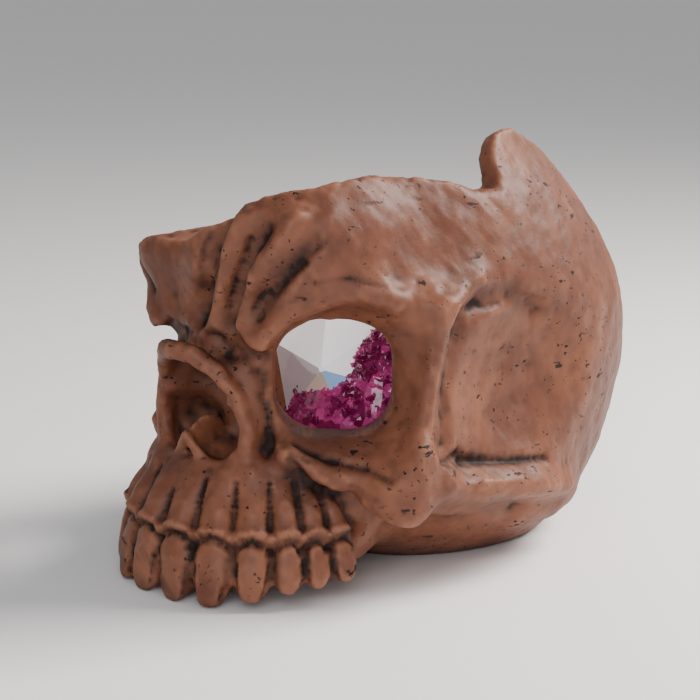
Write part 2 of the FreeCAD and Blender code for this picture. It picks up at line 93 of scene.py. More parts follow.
def add_node(tree: Tree, kind: str, inputs: dict | None = None, **settings):
    """Add one shader node.

    Args:
        tree: The material's node tree.
        kind: The node's type name.
        inputs: Values or output sockets for its inputs, by name or place.
        **settings: Properties of the node itself.

    Returns:
        The new node.
    """
    node = tree.nodes.new(kind)
    for name, value in settings.items():
        setattr(node, name, value)
    for key, value in (inputs or {}).items():
        if isinstance(value, Socket):
            tree.links.new(value, node.inputs[key])
        else:
            node.inputs[key].default_value = value
    return node


def new_material(name: str) -> tuple[bpy.types.Material, Tree, Socket]:
    """Start a material with an empty node tree.

    Args:
        name: The real material's name.

    Returns:
        The material, its node tree and its object coordinates.
    """
    material = bpy.data.materials.new(name)
    material.use_nodes = True
    tree = material.node_tree
    tree.nodes.clear()
    return material, tree, add_node(tree, "ShaderNodeTexCoord").outputs["Object"]


def finish_material(tree: Tree, settings: dict) -> None:
    """Make the surface shader from these settings and send it to the material's output."""
    shader = add_node(tree, "ShaderNodeBsdfPrincipled", settings)
    add_node(tree, "ShaderNodeOutputMaterial", {"Surface": shader.outputs[0]})


def mixed(tree: Tree, factor, first, second) -> Socket:
    """Mix two colours or colour sockets by a factor, and give the result's socket."""
    mix = add_node(tree, "ShaderNodeMix", {0: factor, 6: first, 7: second}, data_type="RGBA")
    return mix.outputs[2]


def maths(tree: Tree, operation: str, *values, clamp: bool = False):
    """Do one step of arithmetic on numbers or sockets, and give the result's socket."""
    step = add_node(tree, "ShaderNodeMath", dict(enumerate(values)), operation=operation,
                    use_clamp=clamp)
    return step.outputs[0]


@dataclass(frozen=True)
class Layer:
    """One layer of noise with features of a real size.

    Attributes:
        size: Feature size in millimetres.
        detail: Octaves of finer noise.
        low: Noise value that becomes 0 when the layer is mapped.
        high: Noise value that becomes 1.
        stretch: Scale along each axis, for streaks.
    """

    size: float
    detail: float = 3.0
    low: float = 0.0
    high: float = 1.0
    stretch: Triple | None = None

    def noise(self, tree: Tree, place: Socket) -> Socket:
        """Make the plain noise.

        Args:
            tree: The node tree.
            place: The coordinates.

        Returns:
            The noise value's socket.
        """
        if self.stretch:
            place = add_node(tree, "ShaderNodeMapping",
                             {"Vector": place, "Scale": self.stretch}).outputs["Vector"]
        settings = {"Vector": place, "Scale": 1 / (self.size * MM), "Detail": self.detail}
        return add_node(tree, "ShaderNodeTexNoise", settings).outputs["Fac"]

    def mapped(self, tree: Tree, value: Socket) -> Socket:
        """Map a noise value's socket smoothly from low..high onto 0..1."""
        settings = {"Value": value, "From Min": self.low, "From Max": self.high}
        return add_node(tree, "ShaderNodeMapRange", settings,
                        interpolation_type="SMOOTHSTEP").outputs["Result"]

    def build(self, tree: Tree, place: Socket) -> Socket:
        """Make the noise at these coordinates and map it."""
        return self.mapped(tree, self.noise(tree, place))


@dataclass(frozen=True)
class PlainFinish:
    """A moulded, drawn or cut material with a fine grain.

    Attributes:
        name: The real material.
        colour: Its sRGB colour.
        roughness: How matt it is.
        grain: The size of its surface grain in millimetres.
        relief: How deep the grain is in millimetres.
        transmission: The share of light let through.
        metallic: Whether it is a metal.
        varied: How far the colour wanders over the piece.
        painted_glow: A painted glow standing in for light that its inner reflections give back, as a
            share of white.
        wander: Size of the patches that differ in colour, in millimetres.
    """

    name: str
    colour: str
    roughness: float = 0.45
    grain: float = 0.6
    relief: float = 0.01
    transmission: float = 0.0
    metallic: float = 0.0
    varied: float = 0.06
    painted_glow: float = 0.0
    wander: float = 12.0

    def build(self) -> bpy.types.Material:
        """Make the material.

        Returns:
            The finished material.
        """
        material, tree, place = new_material(self.name)
        plain = linear(self.colour)
        lighter = add_node(tree, "ShaderNodeHueSaturation",
                           {"Value": 1 + 4 * self.varied, "Color": plain})
        patches = Layer(self.wander).noise(tree, place)
        bump = add_node(tree, "ShaderNodeBump",
                        {"Height": Layer(self.grain, 2.0).noise(tree, place), "Strength": 1.0,
                         "Distance": self.relief * MM})
        # The emission is a painted glow.
        finish_material(tree, {
            "Base Color": mixed(tree, patches, plain, lighter.outputs["Color"]),
            "Roughness": self.roughness, "Metallic": self.metallic,
            "Transmission Weight": self.transmission, "Emission Color": plain,
            "Emission Strength": self.painted_glow, "Normal": bump.outputs["Normal"]})
        return material


@dataclass(frozen=True)
class GlassFinish:
    """Cut or broken coloured glass whose pieces differ in shade.

    Attributes:
        name: The real material.
        dark: The deep colour.
        light: The colour of the palest pieces.
        transmission: The share of light let through.
        roughness: How matt the faces are.
        gloss: The strength of the clear reflection on top.
        painted_glow: A painted glow standing in for light that its inner reflections give back, as a
            share of its colour.
        cell: Size of the spots of one shade, in millimetres.
        deep: Share of the spots that have the deep colour alone.
    """

    name: str
    dark: str
    light: str
    transmission: float = 0.35
    roughness: float = 0.08
    gloss: float = 0.6
    painted_glow: float = 0.12
    cell: float = 2.6
    deep: float = 0.25

    def build(self) -> bpy.types.Material:
        """Make the material.

        Returns:
            The finished material.
        """
        material, tree, place = new_material(self.name)
        cells = add_node(tree, "ShaderNodeTexVoronoi",
                         {"Vector": place, "Scale": 1 / (self.cell * MM)})
        shade = add_node(tree, "ShaderNodeSeparateColor", {"Color": cells.outputs["Color"]})
        ramp = add_node(tree, "ShaderNodeValToRGB", {"Fac": shade.outputs[0]})
        ramp.color_ramp.elements[0].color = linear(self.dark)
        ramp.color_ramp.elements[0].position = self.deep
        ramp.color_ramp.elements[1].color = linear(self.light)
        colour = ramp.outputs["Color"]
        # The emission is a painted glow.
        finish_material(tree, {
            "Base Color": colour, "Roughness": self.roughness, "IOR": 1.52,
            "Transmission Weight": self.transmission, "Coat Weight": self.gloss,
            "Coat Roughness": 0.03, "Emission Color": colour, "Emission Strength": self.painted_glow})
        return material


@dataclass(frozen=True)
class PaintedResinFinish:
    """Cast resin in terracotta paint, a dark wash rubbed into its hollows, then lacquered; the wash's
    colour also paints shade into creases, under overhangs and along the foot.

    Attributes:
        name: The real material.
        shadow: The paint's darkest tone.
        middle: Its middle tone.
        bright: Its brightest tone.
        rubbed: The tone of its rubbed high spots.
        wash_and_shade: The dark wash, whose colour also paints the shade in creases and under
            overhangs.
        roughness: How matt the lacquer is.
        gloss: The lacquer's reflection level.
        broad: Wide areas of the middle and the bright tone.
        mottle: Spots of the darkest tone.
        patches: Areas that have scratches.
        specks: Small chips in the paint.
        streaks: Longer scratches.
    """

    name: str = "painted cast resin"
    shadow: str = "#402218"
    middle: str = "#623828"
    bright: str = "#7b4b35"
    rubbed: str = "#936148"
    wash_and_shade: str = "#1c0c07"
    roughness: float = 0.52
    gloss: float = 0.28
    broad: Layer = Layer(26, 4.0, 0.35, 0.65)
    mottle: Layer = Layer(5, 5.0, 0.36, 0.7)
    patches: Layer = Layer(15, 3.0, 0.44, 0.58)
    specks: Layer = Layer(1.4, 3.5, 0.64, 0.69)
    streaks: Layer = Layer(3.6, 5.0, 0.645, 0.68, (0.8, 0.8, 1.6))

    def build(self) -> bpy.types.Material:
        """Make the material.

        Returns:
            The finished material.
        """
        material, tree, place = new_material(self.name)
        wash_and_shade, rub = (add_node(tree, "ShaderNodeAttribute", attribute_name=name).outputs["Fac"]
                     for name in ("wash_and_shade", "rub"))
        mottle = self.mottle.build(tree, place)
        colour = mixed(tree, self.broad.build(tree, place), linear(self.middle),
                       linear(self.bright))
        colour = mixed(tree, maths(tree, "MULTIPLY", mottle, 0.35), colour, linear(self.shadow))
        colour = mixed(tree, rub, colour, linear(self.rubbed))
        fine = self.specks.noise(tree, place)
        scratched = maths(tree, "MAXIMUM", self.specks.mapped(tree, fine),
                          self.streaks.build(tree, place))
        worn = maths(tree, "MULTIPLY", scratched, self.patches.build(tree, place))
        # The wash mask darkens hollows: partly real dark wash, partly painted shade in creases, under
        # overhangs and at the foot.
        uneven = maths(tree, "MULTIPLY", wash_and_shade, mottle)
        even = maths(tree, "MULTIPLY", wash_and_shade, 0.75)
        washed_and_shaded = maths(tree, "MULTIPLY_ADD", uneven, 0.45, even, clamp=True)
        dark = maths(tree, "MAXIMUM", washed_and_shaded, worn, clamp=True)
        relief = maths(tree, "MULTIPLY_ADD", worn, -1.2, fine)
        bump = add_node(tree, "ShaderNodeBump",
                        {"Height": relief, "Strength": 0.55, "Distance": 0.16 * MM})
        finish_material(tree, {
            "Base Color": mixed(tree, dark, colour, linear(self.wash_and_shade)),
            "Roughness": maths(tree, "MULTIPLY_ADD", dark, 0.25, self.roughness),
            "Specular IOR Level": self.gloss, "Coat Weight": 0.04, "Coat Roughness": 0.35,
            "Normal": bump.outputs["Normal"]})
        return material


FINISHES = {
    "black_rubber": PlainFinish("black nitrile rubber", "#17171a", 0.7, 0.4, 0.02),
    "clear_silicone": PlainFinish("clear silicone tube", "#c9d2d4", 0.25, 1.5, 0.01, 0.7),
    "mineral_stone": PlainFinish("sintered mineral air stone", "#6d7c90", 0.9, 0.7, 0.35, varied=0.1),
    "blue_plastic": PlainFinish("blue polypropylene", "#2b5f9e", 0.4),
    "grey_plastic": PlainFinish("grey ABS", "#6c6e70", 0.5),
    "stainless_steel": PlainFinish("stainless steel", "#b9b8b4", 0.3, 0.3, 0.005, 0.0, 1.0),
    "smoke_plastic": PlainFinish("smoke acetal", "#26272b", 0.32),
    "black_plastic": PlainFinish("black ABS", "#1c1c1e", 0.5, 0.5, 0.03),
    "magenta_glass": GlassFinish("magenta glass crystal", "#780c48", "#d04a94"),
}


# ---------------------------------------------------------------- modelling helpers

def deselect() -> None:
    """Leave object mode with nothing selected."""
    if bpy.context.object is not None and bpy.context.object.mode != "OBJECT":
        bpy.ops.object.mode_set(mode="OBJECT")
    bpy.ops.object.select_all(action="DESELECT")


def choose(*pieces: Thing) -> None:
    """Select these objects and make the first one active.

    Args:
        *pieces: Objects to select.
    """
    deselect()
    for piece in pieces:
        piece.select_set(True)
    bpy.context.view_layer.objects.active = pieces[0]


def settle(piece: Thing) -> None:
    """Put an object's placing into its vertices."""
    choose(piece)
    bpy.ops.object.transform_apply(location=True, rotation=True, scale=True)


def apply_modifier(piece: Thing, kind: str, **settings) -> None:
    """Add one modifier and apply it.

    Args:
        piece: The object.
        kind: The modifier's type name.
        **settings: Its properties.
    """
    choose(piece)
    modifier = piece.modifiers.new(kind.title(), kind)
    for name, value in settings.items():
        setattr(modifier, name, value)
    bpy.ops.object.modifier_apply(modifier=modifier.name)


def join(pieces: list[Thing], name: str) -> Thing:
    """Join objects into one.

    Args:
        pieces: The objects.
        name: The joined object's name.

    Returns:
        The joined object.
    """
    choose(*pieces)
    bpy.ops.object.join()
    whole = bpy.context.view_layer.objects.active
    whole.name = name
    return whole


def remesh(piece: Thing, size: float) -> None:
    """Rebuild a mesh as one closed skin of even faces, their size in millimetres."""
    apply_modifier(piece, "REMESH", mode="VOXEL", voxel_size=size * MM, use_smooth_shade=True)


def mend(piece: Thing, merge: float = 0.0) -> None:
    """Merge doubled vertices and turn every face outwards.

    Args:
        piece: The object.
        merge: Distance in millimetres within which vertices are merged, or 0 for none.
    """
    choose(piece)
    bpy.ops.object.mode_set(mode="EDIT")
    bpy.ops.mesh.select_all(action="SELECT")
    if merge:
        bpy.ops.mesh.remove_doubles(threshold=merge * MM)
    bpy.ops.mesh.normals_make_consistent(inside=False)
    bpy.ops.object.mode_set(mode="OBJECT")


def copy_of(node: str, name: str) -> Thing:
    """Copy a CAD node's mesh to work on, with its doubled vertices merged.

    Args:
        node: The CAD node.
        name: The copy's name.

    Returns:
        The copy.
    """
    piece = bpy.data.objects.new(name, frame["nodes"][node].data.copy())
    bpy.context.scene.collection.objects.link(piece)
    mend(piece, 0.002)
    return piece


def ball(place: Triple, size: Triple, turn: Triple = (0, 0, 0)) -> Thing:
    """A lump of clay.

    Args:
        place: Its middle.
        size: Its half sizes.
        turn: Its turn about X, Y and Z in degrees.

    Returns:
        The lump.
    """
    deselect()
    bpy.ops.mesh.primitive_uv_sphere_add(
        segments=28, ring_count=18, radius=1.0, location=[value * MM for value in place],
        rotation=[math.radians(value) for value in turn])
    lump = bpy.context.object
    lump.scale = [value * MM for value in size]
    settle(lump)
    return lump


def rod(path: Sequence[Triple], thickness: Sequence[float]) -> list[Thing]:
    """A bent, tapering roll of clay as a chain of overlapping balls.

    Args:
        path: Points along its middle.
        thickness: Its radius at each point.

    Returns:
        The balls of the chain.
    """
    balls = []
    for start, end, first, last in zip(path, path[1:], thickness, thickness[1:]):
        span = math.dist(start, end)
        steps = max(1, round(span / (0.45 * min(first, last))))
        for step in range(steps + 1):
            share = step / steps
            place = tuple(a + (b - a) * share for a, b in zip(start, end))
            radius = first + (last - first) * share
            balls.append(pebble(place, radius))
    return balls


def pebble(place: Triple, radius: float) -> Thing:
    """A small round ball.

    Args:
        place: Its middle.
        radius: Its radius.

    Returns:
        The ball.
    """
    deselect()
    bpy.ops.mesh.primitive_ico_sphere_add(
        subdivisions=3, radius=radius * MM, location=[value * MM for value in place])
    lump = bpy.context.object
    settle(lump)
    return lump


# ---------------------------------------------------------------- surface work

def smoothstep(value: np.ndarray, low: float, high: float) -> np.ndarray:
    """Rise smoothly from 0 at low to 1 at high."""
    share = np.clip((value - low) / (high - low), 0, 1)
    return share * share * (3 - 2 * share)


@dataclass(frozen=True)
class Stroke:
    """A line worked into the clay on both sides of the face.

    Attributes:
        points: Places along it on the left side.
        width: Half width at which the work has mostly faded.
        depth: How deep it cuts; a ridge is below 0.
        stain_and_shade: How much dark wash and painted shade it holds.
        both: Whether the right side has it too.
    """

    points: tuple[Triple, ...]
    width: float
    depth: float
    stain_and_shade: float = 0.0
    both: bool = True

    @property
    def sides(self) -> tuple[int, ...]:
        """Which sides of the face have it: 1 for the left and -1 for the right."""
        return (1, -1) if self.both else (1,)

    def line(self, tree: BVHTree, side: int) -> tuple[np.ndarray, np.ndarray]:
        """Lay the line on the surface as close-set points.

        Args:
            tree: The surface.
            side: 1 for the left side or -1 for the right.

        Returns:
            The points and the surface normals there.
        """
        marks = np.array(self.points, float) * (side, 1, 1)
        placed, normals = [], []
        for start, end in zip(marks, marks[1:]):
            steps = max(2, int(np.linalg.norm(end - start) / 1.2))
            for step in range(steps):
                point = start + (end - start) * step / steps
                spot, normal, _, _ = tree.find_nearest(Vector(point * MM))
                placed.append(np.array(spot) / MM)
                normals.append(np.array(normal))
        return np.array(placed), np.array(normals)


class Surface:
    """A mesh held as arrays in millimetres, for work over the whole skin at once."""

    def __init__(self, piece: Thing) -> None:
        """Read a mesh.

        Args:
            piece: The object at the origin.
        """
        self.mesh = piece.data
        total = len(self.mesh.vertices)
        flat = np.empty(total * 3)
        self.mesh.vertices.foreach_get("co", flat)
        self.points = flat.reshape(-1, 3) / MM
        pairs = np.empty(len(self.mesh.edges) * 2, np.int32)
        self.mesh.edges.foreach_get("vertices", pairs)
        self.first, self.second = pairs.reshape(-1, 2).T.astype(np.int64)
        counts = np.bincount(self.first, minlength=total) + np.bincount(self.second, minlength=total)
        self.counts = np.maximum(counts, 1)
        self.normals = np.zeros((total, 3))
        self.write()

    def write(self) -> None:
        """Put the points back in the mesh and read its normals."""
        self.mesh.vertices.foreach_set("co", (self.points * MM).ravel())
        self.mesh.update()
        flat = np.empty(len(self.points) * 3, np.float32)
        self.mesh.vertex_normals.foreach_get("vector", flat)
        self.normals = flat.reshape(-1, 3).astype(float)

    def average(self, values: np.ndarray) -> np.ndarray:
        """Average each vertex's neighbours.

        Args:
            values: One row for each vertex.

        Returns:
            The neighbours' mean for each vertex.
        """
        total = len(self.points)
        columns = [
            np.bincount(self.first, column[self.second], total)
            + np.bincount(self.second, column[self.first], total)
            for column in values.reshape(total, -1).T]
        return (np.array(columns) / self.counts).T.reshape(values.shape)

    def blur(self, values: np.ndarray, rounds: int) -> np.ndarray:
        """Average a field over its neighbours this many times."""
        for _ in range(rounds):
            values = 0.5 * values + 0.5 * self.average(values)
        return values

    def relax(self, rounds: int, fill: np.ndarray | float, wear: np.ndarray | float) -> None:
        """Smooth the skin, filling its creases and wearing its edges at separate rates.

        Args:
            rounds: How many times.
            fill: Rate at which hollows fill, for each vertex.
            wear: Rate at which bumps wear, for each vertex.
        """
        pace = np.maximum(fill, wear)
        for number in range(rounds):
            if number % 4 == 0:
                self.write()
            step = self.average(self.points) - self.points
            along = (step * self.normals).sum(1)
            slide = step - along[:, None] * self.normals
            rate = np.where(along > 0, fill, wear)
            self.points += slide * np.reshape(pace, (-1, 1)) * 0.5
            self.points += self.normals * (along * rate)[:, None]
        self.write()

    def push(self, amount: np.ndarray) -> None:
        """Move the skin out along its normals, by millimetres for each vertex."""
        self.points += self.normals * amount[:, None]
        self.write()

    def near(self, line: tuple[np.ndarray, np.ndarray], width: float) -> np.ndarray:
        """How strongly a line works on each vertex.

        Args:
            line: Points of the line and the normals there.
            width: Half width of the line.

        Returns:
            A share from 0 to 1 for each vertex.
        """
        places, normals = line
        low, high = places.min(0) - 3 * width, places.max(0) + 3 * width
        share = np.zeros(len(self.points))
        close = np.flatnonzero(((self.points > low) & (self.points < high)).all(1))
        if not len(close):
            return share
        gaps = ((self.points[close][:, None] - places[None]) ** 2).sum(2)
        nearest = gaps.argmin(1)
        facing = (self.normals[close] * normals[nearest]).sum(1)
        fade = np.exp(-gaps.min(1) / (width * width)) * smoothstep(facing, 0.0, 0.5)
        share[close] = fade
        return share

    def draw(self, strokes: list[Stroke]) -> None:
        """Work strokes into the skin.

        Args:
            strokes: The strokes.
        """
        tree = skin_tree(self.mesh)
        amount = np.zeros(len(self.points))
        for stroke in strokes:
            for side in stroke.sides:
                amount -= stroke.depth * self.near(stroke.line(tree, side), stroke.width)
        self.push(amount)

    def stroke_wash_and_shade(self, strokes: list[Stroke]) -> np.ndarray:
        """Where the strokes hold dark wash and painted shade.

        Args:
            strokes: The strokes.

        Returns:
            A share from 0 to 1 for each vertex.
        """
        tree = skin_tree(self.mesh)
        held = np.zeros(len(self.points))
        for stroke in strokes:
            if stroke.stain_and_shade:
                for side in stroke.sides:
                    share = self.near(stroke.line(tree, side), 0.8 * stroke.width)
                    held = np.maximum(held, stroke.stain_and_shade * share)
        return held

    def hollowness(self, rounds: int) -> np.ndarray:
        """How far the skin lies below itself blurred this many times, in millimetres."""
        return ((self.blur(self.points, rounds) - self.points) * self.normals).sum(1)

    def store(self, name: str, values: np.ndarray) -> None:
        """Keep one value for each vertex as a named attribute."""
        attribute = self.mesh.attributes.new(name, "FLOAT", "POINT")
        attribute.data.foreach_set("value", values.astype(np.float32))


def skin_tree(mesh: bpy.types.Mesh) -> BVHTree:
    """Make a search tree of a mesh."""
    corners = [vertex.co for vertex in mesh.vertices]
    return BVHTree.FromPolygons(corners, [face.vertices for face in mesh.polygons])


def ripple(points: np.ndarray, size: float, seed: int) -> np.ndarray:
    """A smooth, repeatable random field.

    Args:
        points: Places in millimetres.
        size: Feature size in millimetres.
        seed: Which field.

    Returns:
        A value around 0 for each place, about 1 at most.
    """
    chance = np.random.default_rng(seed)
    total = np.zeros(len(points))
    for _ in range(14):
        way = chance.normal(size=3)
        way /= np.linalg.norm(way)
        total += np.sin(points @ way * chance.uniform(0.7, 1.5) * 2 * np.pi / size
                        + chance.uniform(0, 6.3))
    return total / 5.3


# ---------------------------------------------------------------- skull

@dataclass(frozen=True)
class ToothRow:
    """The upper tooth row.

    Attributes:
        places: For each tooth of one side: place round the arch in degrees, biting edge height,
            half width and height.
        half_x: Half width of the arch.
        half_y: Half length of the arch.
        centre: The arch's middle along Y.
        thick: Half thickness of a tooth.
        gum: Height of the gum line.
        lean: How far a tooth's foot stands out from its neck, halved.
        roots: Distance inside the arch and height of each point along a root ridge.
        bite_gap: The same along the groove between two teeth.
        neck_gap: The same along the groove between two roots.
    """

    places: tuple[tuple[float, float, float, float], ...] = (
        (9.5, 0.2, 5.3, 19), (27.5, 0.3, 5.3, 19), (45.5, 2.2, 5.1, 18),
        (61, 4.2, 4.4, 16), (73.5, 5, 4.1, 15), (86, 6, 4.6, 13.5))
    half_x: float = 33.4
    half_y: float = 30.4
    centre: float = -48.5
    thick: float = 4.2
    gum: float = 18.5
    lean: float = 1.5
    roots: tuple[tuple[float, float], ...] = ((1.6, 18.6), (2.6, 22), (5.4, 27), (9.0, 33))
    bite_gap: tuple[tuple[float, float], ...] = ((-4.6, 2), (-4.6, 9), (-3.4, 15.5))
    neck_gap: tuple[tuple[float, float], ...] = ((-1.0, 20.5), (0.6, 24), (3.2, 28), (5.6, 31.5))

    def at(self, angle: float, side: int, inset: float = 0.0) -> tuple[float, float]:
        """Find the X and Y of a place on the arch, or inside it; side is 1 for left or -1."""
        turn = math.radians(angle)
        return (side * (self.half_x - inset) * math.sin(turn),
                self.centre - (self.half_y - inset) * math.cos(turn))

    def run(self, angle: float, levels: tuple[tuple[float, float], ...],
            side: int = 1) -> tuple[Triple, ...]:
        """Find the points of an upright line on the arch from pairs of inset and height."""
        return tuple((*self.at(angle, side, inset), height) for inset, height in levels)


@dataclass(frozen=True)
class EyeWindow:
    """An eye window, cut square through the wall with rounded corners.

    Attributes:
        across: Its middle along X.
        along: Its middle along Y.
        height: Its middle along Z.
        side: Its width and height.
        corner: Radius of its corners.
        depth: Length of the cut.
        inside: How much of that length lies inside the middle.
        heading: Turn of the cut about Z, in degrees.
    """

    across: float = 29
    along: float = -47.5
    height: float = 55.4
    side: float = 29.5
    corner: float = 10.5
    depth: float = 44
    inside: float = 14
    heading: float = 50


@dataclass(frozen=True)
class NoseHollow:
    """The dished nose hollow: one upper round and a lower lobe on each side.

    Attributes:
        upper: Half width, height of the middle and half height of the upper round.
        lobe: Half width, height of the middle and half height of a lower lobe.
        lobe_across: A lobe's middle along X.
        mouth: Place of the hollow's edge along Y.
        deep: How deep it is.
        behind: Place along Y behind which nothing is touched.
    """

    upper: Triple = (11.5, 49.5, 13)
    lobe: Triple = (9, 41.5, 8.5)
    lobe_across: float = 7.5
    mouth: float = -68
    deep: float = 13.5
    behind: float = -50


@dataclass(frozen=True)
class NoseRing:
    """The raised edge of the nose opening, from the top round to the spine at the bottom.

    Attributes:
        path: Points along the left half of the edge.
        thickness: Its radius at each point.
    """

    path: tuple[Triple, ...] = (
        (0, -75, 62.5), (5, -73.5, 62), (10.5, -70, 58), (14.5, -67, 51.5), (17, -65.5, 44),
        (16, -66, 37.5), (11.5, -68, 33), (6, -69.5, 33), (2.5, -71, 37), (0, -72, 40.5))
    thickness: tuple[float, ...] = (2.6, 2.6, 2.2, 2.0, 2.3, 2.4, 2.0, 1.7, 1.4, 1.2)


# Folds of the forehead, brow, eye post, temple and cheek: grooves first, then ridges. Each groove's
# fourth value darkens it with dark wash and painted shade, most under the brow and under the cheek.
LARGE_FORMS = [
    Stroke(((9, -68, 93), (5, -68, 84), (1, -66, 76), (-1, -66, 69)), 2.7, 5.4, 0.75, False),
    Stroke(((24, -66, 95), (19, -67, 86), (13, -66, 76), (10, -65, 68)), 2.5, 5.0, 0.75, False),
    Stroke(((36, -60, 92), (28, -65, 81), (20, -66, 72)), 2.2, 3.4, 0.6, False),
    Stroke(((-3, -71, 66), (4, -71, 65), (11, -68, 64), (17, -64, 62), (21, -62, 60)),
           2.2, 3.4, 0.85),
    Stroke(((50, -24, 67), (50, -27, 58), (50, -28, 48), (50, -29, 38)), 3.2, 3.6, 0.35),
    Stroke(((51, -25, 71), (49, -16, 75), (50, -6, 75), (47, 6, 69)), 2.8, 2.8, 0.3),
    Stroke(((27, -60, 33), (29, -52, 27), (34, -46, 22), (40, -40, 18)), 3.0, 3.2, 0.8),
    Stroke(((50, -30, 20), (49, -14, 16), (45, 4, 13)), 4.0, 1.8, 0.3),
    Stroke(((16, -66, 97), (12, -67, 86), (8, -66, 76), (5, -67, 69)), 2.8, -3.2, 0.0, False),
    Stroke(((31, -61, 98), (24, -66, 86), (17, -66, 76), (15, -66, 70)), 3.0, -2.8, 0.0, False),
    Stroke(((38, -56, 98), (33, -62, 86), (26, -63, 77)), 2.8, -1.6, 0.0, False),
    Stroke(((50, -17, 80), (51, -31, 73), (50.5, -34, 61), (49.5, -36, 48), (51, -38, 36)),
           3.2, -3.0),
    Stroke(((20, -65, 65), (24, -62, 71), (32, -55, 77), (40, -49, 79), (47, -40, 76)),
           2.8, -2.4),
    Stroke(((28, -61, 38), (31, -54, 32), (36, -48, 28), (44, -43, 25), (49, -38, 24)),
           3.0, -3.4),
    Stroke(((52, -28, 29), (51, -10, 26), (48, 8, 23), (43, 20, 21)), 3.2, -3.6),
]


# Finer grooves of temple, eye post, cheek, nose and forehead, darkened with dark wash and painted
# shade.
FINE_GROOVES = [
    Stroke(((52, -30, 37), (48, -14, 33), (48, -4, 31), (47, 10, 29)), 1.3, 1.6, 1.0),
    Stroke(((44, -20, 74), (50, -14, 73), (51, -8, 74)), 1.0, 0.8, 0.8),
    Stroke(((51, -27, 66), (51, -30, 58), (51, -31, 47), (51, -31, 40)), 1.4, 0.8, 0.35),
    Stroke(((26, -57, 40), (32, -52, 37), (40, -47, 35), (47, -43, 31)), 1.3, 0.9, 0.4),
    Stroke(((28, -61, 37), (29, -54, 30), (33, -47, 25), (38, -42, 21)), 1.6, 1.2, 0.8),
    Stroke(((19, -65, 62), (21, -62, 54), (21, -62, 46), (20, -62, 38)), 1.4, 1.2, 0.8),
    Stroke(((14, -66, 66), (17, -64, 63), (20, -62, 61)), 1.4, 1.0, 0.6),
    Stroke(((4, -70, 66), (8, -68, 65), (13, -66, 62)), 1.2, 1.0, 0.7),
    Stroke(((6, -69, 90), (3, -68, 80), (0, -66, 72)), 1.1, 0.7, 0.5, False),
    Stroke(((21, -67, 91), (16, -67, 82), (10, -65, 72)), 1.1, 0.8, 0.6, False),
    Stroke(((33, -61, 87), (26, -65, 79), (20, -66, 73)), 1.0, 0.7, 0.5),
    Stroke(((36, -56, 92), (29, -62, 84)), 0.8, 0.4, 0.35),
    Stroke(((34, -58, 82), (40, -52, 83), (46, -44, 81)), 0.8, 0.4, 0.3),
    Stroke(((30, -62, 40), (31, -57, 36)), 0.8, 0.5, 0.5),
    Stroke(((38, -50, 30), (44, -45, 27)), 0.8, 0.4, 0.4),
]


# Spots where the clay is smoothed most: brow's tail, ear and temple's rear edge.
SOFT_SPOTS = (((46, -36, 79), 8), ((44, 14, 18), 14), ((48, 20, 50), 14), ((46, -4, 80), 12))


